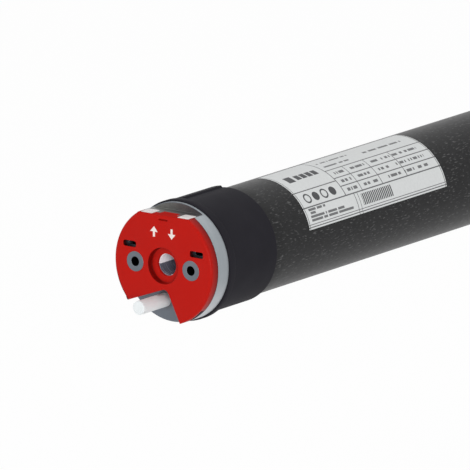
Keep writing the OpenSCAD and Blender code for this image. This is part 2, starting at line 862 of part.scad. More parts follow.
module supply_transformer() {
    color(black) board_box(transformer_y, transformer_length, 0, transformer_width, transformer_height);
}

module radio_module() {
    color(steel) board_box(radio_y, radio_end - radio_y, 0, radio_width, radio_height);
}

module board_header() {
    color(nylon) block([cable_at.x - header_width / 2, header_y, cable_at.y - header_drop],
        [cable_at.x + header_width / 2, header_y + header_length, -board_drop]);
}

module run_capacitor() {
    color(white) along(capacitor_y) cylinder(h = capacitor_length, r = capacitor_d / 2);
}

module capacitor_rings() {
    color(rubber) for (y = [capacitor_y, capacitor_y + capacitor_length - holder_length])
        ring(y, holder_length, seat_r, capacitor_d / 2);
}

// An end shield: a disc with the bearing's seat on the side that faces the stator
module end_shield(y, bearing_y, bore_y, bore_length) {
    color(zinc) difference() {
        along(y) cylinder(h = shield_length, r = seat_r);
        along(bearing_y) cylinder(h = bearing_width, r = bearing_od / 2);
        along(bore_y) cylinder(h = bore_length, r = shaft_d / 2 + over);
    }
}

module front_shield() {
    end_shield(front_shield_y, front_bearing_y, front_bearing_y - shield_pocket, shield_length);
}

module rear_shield() {
    end_shield(rear_shield_y, rear_bearing_y, rear_shield_y - over, shield_length + 2 * over);
}

module rotor_bearings() {
    color(steel) for (y = [front_bearing_y, rear_bearing_y])
        ring(y, bearing_width, bearing_od / 2, shaft_d / 2 + running_gap);
}

module stator_core() {
    color(iron) along(stator_y) linear_extrude(stator_length) difference() {
        circle(seat_r);
        circle(stator_bore_r);
        for (k = [0 : stator_slots - 1]) rotate(k * 360 / stator_slots) {
            translate([coil_slot_low, -coil_slot_width / 2])
                square([coil_slot_high - coil_slot_low, coil_slot_width]);
            translate([stator_bore_r - over, -coil_slot_mouth / 2])
                square([tooth_lip + 2 * over, coil_slot_mouth]);
        }
    }
}

module stator_winding() {
    color(copper) {
        for (y = [stator_y - winding_overhang, stator_y + stator_length])
            ring(y, winding_overhang, coil_slot_high + winding_spread, coil_slot_low + winding_inset);
        along(stator_y - over) linear_extrude(stator_length + 2 * over)
            for (k = [0 : stator_slots - 1]) rotate(k * 360 / stator_slots)
                translate([coil_slot_low + winding_inset, winding_inset - coil_slot_width / 2])
                    square([coil_slot_high - coil_slot_low - 2 * winding_inset,
                        coil_slot_width - 2 * winding_inset]);
    }
}

module rotor_core() {
    color(iron) ring(stator_y - rotor_over, stator_length + 2 * rotor_over,
        stator_bore_r - air_gap, shaft_d / 2);
}

module rotor_shaft() {
    sun_end = stage_y(0) + planet_widths[0];
    color(steel) {
        along(shaft_y) cylinder(h = backplate_y - face_gap - shaft_y, r = shaft_d / 2);
        along(backplate_y - over) cylinder(h = sun_end - backplate_y + over, r = sun_shaft_r);
    }
}

module brake_yoke() {
    color(iron) {
        difference() {
            ring(yoke_y, yoke_length, seat_r, shaft_d / 2 + over);
            ring(yoke_y + yoke_length - brake_spring_depth, yoke_length,
                spring_pocket_high, spring_pocket_low);
            ring(yoke_y + yoke_length - coil_depth, yoke_length, coil_high, coil_low);
        }
        along(yoke_y + yoke_length - over) for (a = guide_angles) rotate(a) translate([guide_radius, 0, 0])
            cylinder(h = backplate_y - yoke_y - yoke_length + over, r = guide_pin_r);
    }
}

module brake_coil() {
    color(copper) ring(yoke_y + yoke_length - coil_depth, coil_depth - coil_cover,
        coil_high - coil_inset, coil_low + coil_inset);
}

module brake_spring() {
    color(steel) along(yoke_y + yoke_length - brake_spring_depth + face_gap / 2)
        coil_spring(brake_spring_depth + brake_travel - face_gap,
            (spring_pocket_low + spring_pocket_high) / 2, brake_spring_wire, 5);
}

module brake_armature() {
    color(iron) along(armature_y) difference() {
        cylinder(h = armature_thickness, r = guide_radius + guide_pin_r + armature_rim);
        translate([0, 0, -over]) cylinder(h = armature_thickness + 2 * over, r = shaft_d / 2 + over + stack_gap);
        for (a = guide_angles) rotate(a) translate([guide_radius, 0, -over])
            cylinder(h = armature_thickness + 2 * over, r = guide_pin_r + stack_gap);
    }
}

module brake_disc() {
    color(tan) ring(disc_y, brake_disc_thickness, brake_disc_r, shaft_d / 2);
}

module brake_backplate() {
    color(iron) ring(backplate_y, backplate_thickness, seat_r, sun_shaft_r + over);
}

module ring_gear() {
    color(nylon) along(gear_y) difference() {
        cylinder(h = ring_end - gear_y, r = seat_r);
        translate([0, 0, -over])
            internal_gear_space(ring_teeth, gear_module, ring_end - gear_y + 2 * over, gear_backlash / 2);
    }
}

module sun_gear() {
    color(steel) along(stage_y(0)) difference() {
        external_gear(sun_teeth, gear_module, planet_widths[0], gear_backlash / 2);
        translate([0, 0, -over]) cylinder(h = planet_widths[0] + 2 * over, r = sun_shaft_r);
    }
}

// A planet of stage s, turned so that its teeth mesh with the sun and the ring gear
module planet(s, i) {
    place = i * 360 / planet_count;
    phase = 180 - 180 / planet_teeth + place * sun_teeth / planet_teeth;
    color(brass) along(stage_y(s)) rotate(place) translate([planet_radius, 0, 0]) difference() {
        rotate(phase) external_gear(planet_teeth, gear_module, planet_widths[s], gear_backlash / 2);
        translate([0, 0, -over])
            cylinder(h = planet_widths[s] + 2 * over, r = planet_pin_d / 2 + running_gap);
    }
}

// A carrier's disc and the three pins that its planets turn on
module carrier_body(s) {
    along(carrier_y(s)) cylinder(h = carrier_thicknesses[s], r = carrier_r);
    for (i = [0 : planet_count - 1]) along(stage_y(s)) rotate(i * 360 / planet_count)
        translate([planet_radius, 0, 0]) cylinder(h = carrier_y(s) - stage_y(s) + over, r = planet_pin_d / 2);
}

// A carrier with the next stage's sun on its back
module geared_carrier(s) {
    color(iron) {
        carrier_body(s);
        along(carrier_end(s) - over) external_gear(sun_teeth, gear_module,
            stage_y(s + 1) + planet_widths[s + 1] - carrier_end(s) + over, gear_backlash / 2);
    }
}

module output_carrier() {
    color(iron) difference() {
        carrier_body(2);
        along(carrier_y(2) - over) cylinder(h = carrier_thicknesses[2] + 2 * over, r = hex_r, $fn = 6);
    }
}

module output_shaft() {
    edge = 0.8;
    color(steel) difference() {
        union() {
            along(carrier_y(2)) cylinder(h = carrier_thicknesses[2] + over, r = hex_r, $fn = 6);
            along(carrier_end(2)) cylinder(h = journal_end - carrier_end(2), r = journal_r);
            along(journal_end - over) cylinder(h = drive_length + over - edge, r = drive_d / 2);
            along(drive_end - edge) cylinder(h = edge, r1 = drive_d / 2, r2 = drive_d / 2 - edge);
        }
        ring(circlip_y, circlip_thickness, journal_r + over, circlip_groove_r);
        block([-drive_d, journal_end, drive_d / 2 - drive_flat], [drive_d, drive_end + over, drive_d]);
    }
}

module output_bush() {
    color(brass) ring(cap_spigot_y, cap_grip + cap_flange, bush_r, journal_r + running_gap);
}

module output_circlip() {
    color(steel) difference() {
        ring(circlip_y, circlip_thickness - 2 * face_gap, bush_r, circlip_groove_r);
        block([-circlip_opening / 2, circlip_y - over, 0],
            [circlip_opening / 2, circlip_y + circlip_thickness + over, head_r]);
    }
}

module end_cap() {
    edge = 0.6;
    color(zinc) difference() {
        union() {
            along(cap_spigot_y) cylinder(h = cap_grip + over, r = seat_r);
            along(cap_y) cylinder(h = cap_flange - edge, r = tube_r);
            along(cap_end - edge) cylinder(h = edge, r1 = tube_r, r2 = tube_r - edge);
        }
        along(cap_spigot_y - over) cylinder(h = cap_grip + cap_flange + 2 * over, r = bush_r);
        rivet_holes(cap_rivet_y, cap_rivet_angles, seat_r - cap_wall);
    }
}

module end_rivets() {
    color(steel) rivets(cap_rivet_y, cap_rivet_angles, seat_r - cap_wall);
}

head_cover();
head_body();
bracket_socket();
limit_button(-1);  // limit_button_left
limit_button(1);  // limit_button_right
button_spring(-1);  // button_spring_left
button_spring(1);  // button_spring_right
button_board();
button_switches();
supply_cable();
cable_grommet();
cable_plug();
power_leads();
drive_crown();
encoder_pinion();
encoder_magnet();
motor_tube();
rating_label();
head_rivets();
electronics_cradle();
control_board();
switching_relays();
supply_transformer();
radio_module();
board_header();
run_capacitor();
capacitor_rings();
front_shield();
rear_shield();
rotor_bearings();
stator_core();
stator_winding();
rotor_core();
rotor_shaft();
brake_yoke();
brake_coil();
brake_spring();
brake_armature();
brake_disc();
brake_backplate();
ring_gear();
sun_gear();
geared_carrier(0);  // stage_1_carrier
geared_carrier(1);  // stage_2_carrier
output_carrier();
output_shaft();
output_bush();
output_circlip();
end_cap();
end_rivets();
for (s = [1 : 3]) for (i = [1 : planet_count])
    planet(s - 1, i - 1);
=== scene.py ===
import bmesh
import bpy
import numpy as np
from mathutils import Matrix, Vector
from mathutils.geometry import delaunay_2d_cdt


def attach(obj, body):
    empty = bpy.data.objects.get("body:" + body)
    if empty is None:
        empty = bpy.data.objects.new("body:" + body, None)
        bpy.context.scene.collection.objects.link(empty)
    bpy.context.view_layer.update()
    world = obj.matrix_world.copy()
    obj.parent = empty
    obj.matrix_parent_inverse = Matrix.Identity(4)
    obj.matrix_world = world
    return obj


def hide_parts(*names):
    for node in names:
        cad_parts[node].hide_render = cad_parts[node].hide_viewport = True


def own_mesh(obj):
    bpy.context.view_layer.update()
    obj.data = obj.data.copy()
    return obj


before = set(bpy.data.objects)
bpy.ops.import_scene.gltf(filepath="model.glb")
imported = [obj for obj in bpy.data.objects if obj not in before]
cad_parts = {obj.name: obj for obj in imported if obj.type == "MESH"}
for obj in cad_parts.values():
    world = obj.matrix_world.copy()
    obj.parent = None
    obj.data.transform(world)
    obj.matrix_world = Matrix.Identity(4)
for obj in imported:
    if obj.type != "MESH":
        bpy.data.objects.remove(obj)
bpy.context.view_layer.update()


# The viewpoint. A long lens five metres away looks down on the head from its right-hand
# front, so that the sides of the tube stay parallel, as in a catalogue picture.
scene = bpy.context.scene
scene.view_settings.view_transform = "Standard"
turn, rise, distance, field = np.radians(36.3), np.radians(13.6), 5.0, 0.1969
aim_right, aim_up = 0.03025, 0.01305
back = np.array([np.sin(turn) * np.cos(rise), -np.cos(turn) * np.cos(rise), np.sin(rise)])
right = np.array([np.cos(turn), np.sin(turn), 0])
up = np.cross(back, right)
aim = aim_right * right + aim_up * up
camera = bpy.data.objects.new("camera", bpy.data.cameras.new("camera"))
camera.data.lens = camera.data.sensor_width * distance / field
camera.data.clip_end = 100
camera.matrix_world = Matrix(np.block(
    [[np.stack([right, up, back], 1), (aim + distance * back)[:, None]], [0, 0, 0, 1]]).tolist())
scene.collection.objects.link(camera)
scene.camera = camera


# The studio. A wide white paper sweep lies well below the part, under a plain white tent
# and three soft boxes. What the camera and the polished faces see of it is plain white.
def leading(operation):
    """The method of an operator whose value comes first."""
    return lambda self, other=0.0: self.finish.node("Math", {"operation": operation}, {0: self, 1: other})


def trailing(operation):
    """The method of an operator whose value comes second, as in 1 - mask."""
    return lambda self, other: self.finish.node("Math", {"operation": operation}, {0: other, 1: self})


class Level:
    """A value on a node's socket; the operators add the Math node that works it out."""

    __add__ = __radd__ = leading("ADD")
    __sub__, __rsub__ = leading("SUBTRACT"), trailing("SUBTRACT")
    __mul__ = __rmul__ = leading("MULTIPLY")
    __truediv__, __rtruediv__ = leading("DIVIDE"), trailing("DIVIDE")
    __mod__, __rmod__ = leading("FLOORED_MODULO"), trailing("FLOORED_MODULO")
    __gt__, __lt__ = leading("GREATER_THAN"), leading("LESS_THAN")
    __or__ = __ror__ = leading("MAXIMUM")
    __and__ = __rand__ = leading("MINIMUM")
    __abs__, floor = leading("ABSOLUTE"), leading("FLOOR")

    def __init__(self, finish, socket):
        self.finish, self.socket = finish, socket


class Finish:
    """A surface finish: a material whose nodes are added one by one round its shader."""

    def __init__(self, name, **fixed):
        self.material = bpy.data.materials.new(name)
        self.material.use_nodes = True
        self.tree = self.material.node_tree
        self.shader = self.tree.nodes["Principled BSDF"]
        self.surface(**fixed)

    def feed(self, target, inputs):
        for key, value in inputs.items():
            if isinstance(value, Level):
                self.tree.links.new(value.socket, target.inputs[key])
            else:
                target.inputs[key].default_value = value

    def node(self, kind, settings={}, inputs={}, out=0):
        made = self.tree.nodes.new("ShaderNode" + kind)
        for key, value in settings.items():
            setattr(made, key, value)
        self.feed(made, inputs)
        return Level(self, made.outputs[out])

    def surface(self, **inputs):
        for key, value in inputs.items():
            self.feed(self.shader, {key.replace("_", " ").title().replace("Ior", "IOR"): value})


def paint(red, green, blue):
    """A colour given as it looks on a screen, 0 to 255, as the linear values of a shader."""
    c = np.array([red, green, blue]) / 255
    return (*np.where(c < 0.04045, c / 12.92, ((c + 0.055) / 1.055) ** 2.4).tolist(), 1.0)


def seen_directly(finish):
    """1 for a ray from the camera, a reflection or a view through glass, and 0 for light."""
    kinds = ("Is Camera Ray", "Is Glossy Ray", "Is Transmission Ray")
    camera_ray, glossy_ray, glass_ray = [finish.node("LightPath", out=kind) for kind in kinds]
    return camera_ray | glossy_ray | glass_ray


sweep_half, sweep_z, paper_glow, tent_light = 30.0, -0.15, 0.96, 0.52
sweep = Finish("white_paper", base_color=(0.9, 0.9, 0.9, 1), roughness=0.9)
matt_paper = Level(sweep, sweep.shader.outputs[0])
glow = sweep.node("Emission", {}, {"Color": (1, 1, 1, 1), "Strength": 1.0})
paper = sweep.node("MixShader", {}, {0: seen_directly(sweep) * paper_glow, 1: matt_paper, 2: glow})
sweep.feed(sweep.tree.nodes["Material Output"], {"Surface": paper})
side = np.array([-sweep_half, sweep_half])
sweep_corners = np.stack([side[[0, 1, 1, 0]], side[[0, 0, 1, 1]], np.full(4, sweep_z)], -1)
sweep_mesh = bpy.data.meshes.new("paper_sweep")
sweep_mesh.from_pydata(sweep_corners.tolist(), [], [(0, 1, 2, 3)])
sweep_mesh.materials.append(sweep.material)
floor = bpy.data.objects.new("paper_sweep", sweep_mesh)
scene.collection.objects.link(floor)

tent = bpy.data.worlds.new("white_tent")
tent.use_nodes = True
scene.world = tent
sky = Finish.__new__(Finish)
sky.tree = tent.node_tree
lit = sky.node("Background", {}, {"Color": (1, 1, 1, 1), "Strength": tent_light})
shown = sky.node("Background", {}, {"Color": (1, 1, 1, 1), "Strength": 1.0})
both = sky.node("MixShader", {}, {0: seen_directly(sky), 1: lit, 2: shown})
sky.feed(tent.node_tree.nodes["World Output"], {"Surface": both})


def soft_box(name, place, size, power):
    """A square area lamp of that size at that place, turned to the head."""
    head_middle = Vector((0, 0.05, 0))
    lamp = bpy.data.lights.new(name, "AREA")
    lamp.size, lamp.energy = size, power
    stand = bpy.data.objects.new(name, lamp)
    stand.location = place
    stand.rotation_euler = (Vector(place) - head_middle).to_track_quat("Z", "Y").to_euler()
    scene.collection.objects.link(stand)


soft_box("key_box", (-0.8, -1.3, 1.1), 1.1, 9.5)
soft_box("top_box", (0.3, 0.5, 1.5), 0.9, 5)
soft_box("fill_box", (1.3, -1.2, 0.25), 0.7, 14)


# The supply cable: a round white PVC lead, 6 mm thick, that leaves the head straight
# forwards through the notch and is cut off square a little in front of the face.
cable_x, cable_z, cable_r, cable_edge, cable_core = -4.0165, -16.38, 3.0, 0.25, 1.3
cable_back, cable_front = 24.9, -11.7


def grid_faces(rows, columns, closed=True):
    """Quads between the neighbours of a grid kept row by row; closed joins the last column
    to the first."""
    i, j = np.meshgrid(np.arange(rows - 1), np.arange(columns - (not closed)), indexing="ij")
    here, beside = i * columns + j, i * columns + (j + 1) % columns
    return np.stack([here, beside, beside + columns, here + columns], -1).reshape(-1, 4)


def turned(profile, columns=128, centre=(0.0, 0.0), swell=None):
    """A profile of (radius, y) rows carried round an axis along Y: x = radius cos t and
    z = radius sin t, about centre. swell(t, y) is added to the radius."""
    radius, y = np.asarray(profile, float).T
    t = np.linspace(0, 2 * np.pi, columns, endpoint=False)
    rows = radius[:, None] + (np.zeros_like(t) if swell is None else swell(t[None, :], y[:, None]))
    points = np.stack([centre[0] + rows * np.cos(t), np.broadcast_to(y[:, None], rows.shape),
                       centre[1] + rows * np.sin(t)], -1)
    return points.reshape(-1, 3), grid_faces(len(radius), columns), True


def quarter(centre_r, centre_y, size, start, end, steps=6):
    """Rows of a quarter round in a profile: a circle of that size about (radius, y), from
    the start to the end angle in degrees, where 0 points outwards and 90 along +Y."""
    a = np.radians(np.linspace(start, end, steps))
    return np.stack([centre_r + size * np.cos(a), centre_y + size * np.sin(a)], -1)


def straight(radius, y):
    """Rows of a profile that keeps its radius at those y."""
    return np.stack([np.full(len(y), radius), y], -1)


def joined(name, surfaces, material, sharp=32, touching=2e-6):
    """One closed mesh from several surfaces in mm, each (points, faces, smooth): touching
    points are merged, faces turned outwards and edges over the sharp angle kept crisp."""
    starts = np.cumsum([0] + [len(points) for points, _, _ in surfaces])
    points = np.concatenate([points for points, _, _ in surfaces]) * 0.001
    numbered = [(np.asarray(own) + start).tolist() for (_, own, _), start in zip(surfaces, starts)]
    smooth = np.concatenate([np.full(len(own), is_smooth) for _, own, is_smooth in surfaces])
    mesh = bpy.data.meshes.new(name)
    mesh.from_pydata(points.tolist(), [], [face for own in numbered for face in own])
    mesh.polygons.foreach_set("use_smooth", smooth)
    shell = bmesh.new()
    shell.from_mesh(mesh)
    bmesh.ops.remove_doubles(shell, verts=shell.verts, dist=touching)
    bmesh.ops.recalc_face_normals(shell, faces=shell.faces)
    shell.to_mesh(mesh)
    shell.free()
    mesh.set_sharp_from_angle(angle=np.radians(sharp))
    mesh.materials.append(material)
    piece = bpy.data.objects.new(name, mesh)
    scene.collection.objects.link(piece)
    return piece


def fitted(piece, body, slot, *nodes):
    """The piece rides on that body and stands for those nodes, which are hidden. The slot is not used."""
    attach(piece, body)
    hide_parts(*nodes)
    return piece


def mottle(finish, scale, detail=2.0, stretch=(1, 1, 1)):
    """Soft noise on the piece's own coordinates, stretched along its axes."""
    where = finish.node("TexCoord", out="Object")
    spread = finish.node("VectorMath", {"operation": "MULTIPLY"}, {0: where, 1: stretch})
    return finish.node("TexNoise", {}, {"Vector": spread, "Scale": scale, "Detail": detail})


def blend(finish, share, low, high):
    """A colour between two, by share."""
    return finish.node("Mix", {"data_type": "RGBA"}, {"Factor": share, 6: low, 7: high}, out=2)


def relief(finish, height, depth, strength=0.5, edge=0.0):
    """Bumps of that depth in metres; edge rounds the look of corners by that radius."""
    below = {"Normal": finish.node("Bevel", {"samples": 6}, {"Radius": edge})} if edge else {}
    return finish.node("Bump", {}, {"Height": height, "Distance": depth, "Strength": strength, **below})


def speckled(name, noise, low, high, rough, bump, **fixed):
    """A material with one soft noise, given as mottle takes it: it carries the colour from low
    to high, adds its share to the least roughness, and raises bumps as relief takes them."""
    finish = Finish(name, **fixed)
    grain = mottle(finish, *noise)
    least, more = rough
    finish.surface(base_color=blend(finish, grain, paint(*low), paint(*high)),
                   roughness=least + grain * more if more else least, normal=relief(finish, grain, *bump))
    return finish.material


sheath = speckled("white_sheath", (260, 4, (1, 0.3, 1)), (212, 217, 219), (230, 234, 235),
                  (0.42, 0.2), (0.00004,), specular_ior_level=0.35)
cable_rows = np.concatenate([
    [(0.0, cable_front), (cable_core, cable_front)],
    quarter(cable_r - cable_edge, cable_front + cable_edge, cable_edge, -90, 0, 4),
    straight(cable_r, np.linspace(cable_front + 2, cable_back, 18)),
    [(0.0, cable_back)]])
cable = joined("white_cable", [turned(cable_rows, 48, (cable_x, cable_z))], sheath)
fitted(cable, "housing", "cable_sheath", "supply_cable")


# The grommet and plug of the cable: a grey rubber sleeve in the head's hole and a black
# moulded connector behind it, whose copper leads run to the control board.
def dressed(material, *nodes):
    """Puts the material on CAD nodes whose shape is already right."""
    for name in nodes:
        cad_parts[name].data.materials.clear()
        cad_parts[name].data.materials.append(material)


rubber = speckled("grey_rubber", (1800, 3), (92, 96, 101), (112, 116, 121),
                  (0.75, 0), (0.00005, 0.6, 0.0002), specular_ior_level=0.3)
dressed(rubber, "cable_grommet", "capacitor_rings")

crown_black = Finish("black_moulding", specular_ior_level=0.04)
spark = mottle(crown_black, 2600, 3)
tone = mottle(crown_black, 90, 2)
crown_black.surface(base_color=blend(crown_black, tone, paint(32, 31, 36), paint(40, 39, 44)),
                    roughness=0.5 + spark * 0.2, normal=relief(crown_black, spark, 0.00003, 0.5, 0.0003))
dressed(crown_black.material, "cable_plug", "button_switches", "supply_transformer")

copper = speckled("enamelled_copper", (1500, 2, (1, 0.12, 1)), (150, 84, 44), (214, 140, 88),
                  (0.28, 0.25), (0.0001, 0.8), metallic=1.0)
dressed(copper, "power_leads", "stator_winding", "brake_coil")


# The head casting: a pressure die-cast zinc body with a grey, slightly grainy skin. Its
# block shows as the silver ring behind the red cover, and its two bosses come through it.
# The faces that look forwards are painted darker, as painted shade, and the shelf under the
# flat carries painted shade.
boss_x, boss_bore, bore_middle_y, bore_half_y = 14.5, 2.3, 6.1, 5.9
latch_x, latch_z = 17.4, 7.3
pit_half_x, pit_half_z, pit_middle_y, pit_half_y, pit_left = 3.7, 1.6, 8, 3.98, -20.2
shelf_z, shelf_r, block_end, facing = 21.6, 25.05, 12, -0.7


def axes(finish):
    """The piece's own x, y and z in mm."""
    split = finish.node("SeparateXYZ", {}, {0: finish.node("TexCoord", out="Object")}).socket.node
    return [Level(finish, split.outputs[k]) * 1000 for k in "XYZ"]


def ramp(level, start, end):
    """0 up to the start, 1 from the end on, and even between them."""
    return ((level - start) / (end - start) | 0.0) & 1.0


cast = Finish("die_cast_skin", metallic=0.85)
skin = mottle(cast, 1400, 4)
flow = mottle(cast, 120, 3, (1, 2.5, 1))
x, y, z = axes(cast)
# Painted shade: faces whose normal looks forwards take a darker copy of the skin.
faces_forward = cast.node("SeparateXYZ", {}, {0: cast.node("TexCoord", out="Normal")}, out="Y") < facing
shelf_shade = (z > shelf_z) * (x * x + z * z < shelf_r ** 2) * (y < block_end)
from_boss = abs(x) - boss_x
screw_hole_shade = (from_boss * from_boss + z * z < boss_bore ** 2) * (abs(y - bore_middle_y) < bore_half_y)
latch_pit_shade = (abs(abs(x) - latch_x) < pit_half_x) * (abs(z - latch_z) < pit_half_z)
latch_pit_shade = latch_pit_shade * (abs(y - pit_middle_y) < pit_half_y) * (x > pit_left)
skin_and_low_highlight = blend(cast, flow, paint(140, 147, 152), paint(162, 167, 171))
# Painted highlight: the skin turns lighter towards the bottom of the head.
skin_and_low_highlight = blend(cast, ramp(z, -4, -18), skin_and_low_highlight, paint(192, 195, 199))
forward_shade = blend(cast, flow, paint(98, 104, 112), paint(116, 121, 129))
shade_left = blend(cast, skin, paint(92, 96, 94), paint(134, 132, 128))
shade_right = blend(cast, skin, paint(58, 62, 66), paint(98, 92, 94))
metal = blend(cast, faces_forward, skin_and_low_highlight, forward_shade)
# Painted shade on the shelf under the flat: lighter on the left, darker on the right.
metal = blend(cast, shelf_shade, metal, blend(cast, ramp(x, -9, 9), shade_left, shade_right))
# Painted shade: the screw bores and the latch pits are painted near black, except the far left wall of the
# left pit.
metal = blend(cast, screw_hole_shade | latch_pit_shade, metal, paint(16, 16, 22))
cast.surface(base_color=metal, roughness=0.36 + skin * 0.2, normal=relief(cast, skin, 0.00006, 0.45, 0.0003))
dressed(cast.material, "head_body", "front_shield", "rear_shield")


# The bracket socket: a turned steel sleeve pressed into the head, which takes the round
# pin of the wall bracket. Its bore carries a painted reflection, near white above, and
# painted shade, dark below.
socket_inner, socket_outer, socket_front, socket_back = 4.5, 6.5, 4.0, 24.0
socket_base, mouth_edge, socket_edge = 1.2, 0.25, 0.3
bright = Finish("bore_painted_light", specular_ior_level=0.6)
lay_marks = mottle(bright, 700, 2, (0.2, 6, 0.2))
x, y, z = axes(bright)
in_bore = x * x + z * z < (socket_inner + 0.3) ** 2
# Painted reflection and painted shade: the bore is near white above and dark below, along a wavy line.
painted_shade_below = (z + lay_marks * 0.5 < -0.1) * (x < 1.5) * in_bore
painted_reflection_above = blend(bright, lay_marks, paint(244, 240, 246), paint(252, 250, 253))
shade_below_colour = blend(bright, lay_marks, paint(92, 94, 108), paint(124, 124, 136))
bright.surface(base_color=blend(bright, painted_shade_below, painted_reflection_above, shade_below_colour), roughness=0.2 + lay_marks * 0.12,
               metallic=painted_shade_below * 0.4, normal=relief(bright, lay_marks, 0.00002, 0.3))
socket_rows = np.concatenate([
    [(0.0, socket_back - socket_base), (socket_inner, socket_back - socket_base)],
    quarter(socket_inner + mouth_edge, socket_front + mouth_edge, mouth_edge, 180, 270),
    quarter(socket_outer - socket_edge, socket_front + socket_edge, socket_edge, -90, 0),
    quarter(socket_outer - socket_edge, socket_back - socket_edge, socket_edge, 0, 90),
    [(0.0, socket_back)]])
socket = joined("bracket_sleeve", [turned(socket_rows, 96)], bright.material)
fitted(socket, "housing", "bright_steel", "bracket_socket")


# The red cover: a glossy moulded cap that clips over the front of the casting. It has a
# flat on top, a notch for the cable, a round recess and openings for bosses and latches.
# Two plain printed arrows, up and down, stand below the limit buttons.
cover_r, cover_round, cover_thick, skirt_end, step_r = 25.3, 1.1, 4.0, 4.9, 24.0
flat_z, edge_round, round_run, corner_gap = 21.7, 0.3, 1.6, 0.6
notch_corner, notch_round = np.array([1.8, -9.6]), 2.6
notch_angles = np.radians([200.6, 296.0])
pocket_in, pocket_out, pocket_y, pocket_floor = 6.4, 12.6, 0.9, 15.6
lift_angle, lift_plane, lift_half, lift_y = np.radians(-52), 24.4, 4.0, 1.6
recess_r, recess_y, pin_hole_r, boss_opening_r = 7.8, 2.8, 4.8, 4.3
latch_long, latch_wide, latch_undercut = 6.8, 2.6, 1.4
hole_lip, recess_lip, recess_round, pin_hole_lip = 0.18, 0.35, 0.25, 0.15
slit_drop, slit_long, slit_wide, slit_y = 1.85, 4.8, 0.7, 1.0
tab_half, tab_front, tab_back, tab_thick, tab_gap, tab_round = 4.3, 3.85, 7.0, 1, 0.03, 0.25
arrow_x, arrow_z, arrow_head, arrow_slope, arrow_shaft = 4.6, 14.3, 2.3, 0.85, 0.55
rim_r, well_r, well_spread, well_middle_y, well_half_y = 24.4, 7.85, 6.5, 1.5, 1.35
RIM, LIFT, FLAT, POCKET, NOTCH = range(5)


def polar(radius, angle):
    """Points (x, z) at that radius and angle."""
    return np.stack([radius * np.cos(angle), radius * np.sin(angle)], -1)


def at_depth(loop, y):
    """Points (x, z) of a loop set at that y, or each at its own y."""
    return np.stack([loop[:, 0], np.broadcast_to(y, len(loop)), loop[:, 1]], -1)


def notch_ends(radius):
    """Where the notch's upper and lower edges meet a circle about the axis."""
    way = polar(1.0, notch_angles)
    along = (way * notch_corner).sum(1)
    reach = np.sqrt(along ** 2 + radius ** 2 - notch_corner @ notch_corner) - along
    return notch_corner + way * reach[:, None]


def cover_edge():
    """The cover's outline seen from the front, anticlockwise: rim, flat, rim, then the
    notch's upper edge, its round and its lower edge. Points are doubled where a button
    pocket or the lift flat starts or ends. Returns the points and the kind of each."""
    way = polar(1.0, notch_angles)
    half = (notch_angles[1] - notch_angles[0]) / 2
    rim_ends = notch_ends(cover_r)
    first = np.arctan2(rim_ends[1, 1], rim_ends[1, 0])
    last = np.arctan2(rim_ends[0, 1], rim_ends[0, 0]) + 2 * np.pi
    corner = np.arcsin(flat_z / cover_r)
    lift, clear = np.arcsin(lift_half / cover_r), corner_gap / cover_r
    spans = [polar(cover_r, np.linspace(first + clear, lift_angle - lift, 16)),
             polar(cover_r, np.linspace(lift_angle - lift, lift_angle + lift, 28)),
             polar(cover_r, np.linspace(lift_angle + lift, corner, 150))]
    flat_half = cover_r * np.cos(corner)
    stops = [flat_half, pocket_out, pocket_in, -pocket_in, -pocket_out, -flat_half]
    spans += [np.stack([np.linspace(a, b, n), np.full(n, flat_z)], -1)
              for a, b, n in zip(stops[:-1], stops[1:], (4, 18, 14, 18, 4))]
    spans.append(polar(cover_r, np.linspace(np.pi - corner, last - clear, 120)))
    touch = notch_round / np.tan(half)
    spans.append(np.linspace(rim_ends[0], notch_corner + way[0] * touch, 36))
    middle = notch_corner + polar(notch_round / np.sin(half), notch_angles.mean())
    bend = np.linspace(np.pi / 2 - half, half - np.pi / 2, 18)
    spans.append(middle + polar(notch_round, notch_angles.mean() + np.pi + bend))
    spans.append(np.linspace(notch_corner + way[1] * touch, rim_ends[1], 26))
    kinds = (RIM, LIFT, RIM, FLAT, POCKET, FLAT, POCKET, FLAT, RIM, NOTCH, NOTCH, NOTCH)
    return np.concatenate(spans), np.concatenate([np.full(len(s), k) for s, k in zip(spans, kinds)])


def outward(loop):
    """Mitred outward normals of a closed anticlockwise loop: the two edge normals at a point,
    added and divided by one plus their product; doubled points share theirs."""
    step = np.roll(loop, -1, 0) - loop
    length = np.linalg.norm(step, axis=1)
    keep = np.flatnonzero(length > 1e-9)
    normal = np.stack([step[keep, 1], -step[keep, 0]], -1) / length[keep, None]
    before = np.roll(normal, 1, 0)
    mitre = (normal + before) / (1 + (normal * before).sum(1))[:, None]
    owner = np.searchsorted(keep, np.arange(len(loop))) % len(keep)
    return mitre[owner]


def flat_face(loops, y):
    """A flat face at depth y between an edge and its holes: the loops' points are joined in
    triangles, and those whose middle lies inside an odd number of loops are kept."""
    starts = np.cumsum([0] + [len(loop) for loop in loops])
    edges = np.concatenate([
        np.stack([np.arange(len(loop)), (np.arange(len(loop)) + 1) % len(loop)], -1) + start
        for loop, start in zip(loops, starts)])
    points = np.concatenate(loops)
    made, _, faces, *_ = delaunay_2d_cdt([Vector(p) for p in points], edges.tolist(), [], 0, 1e-7)
    made = np.array([tuple(p) for p in made])
    faces = np.array([face for face in faces if len(face) == 3])
    middle = made[faces].mean(1)
    a, b = points[edges].transpose(1, 0, 2)
    level = (a[:, 1] > middle[:, 1:]) != (b[:, 1] > middle[:, 1:])
    climb = np.where(np.abs(b[:, 1] - a[:, 1]) < 1e-12, 1e-12, b[:, 1] - a[:, 1])
    cross = a[:, 0] + (middle[:, 1:] - a[:, 1]) * (b[:, 0] - a[:, 0]) / climb
    inside = (level & (middle[:, :1] < cross)).sum(1) % 2 == 1
    return at_depth(made, y), faces[inside], False


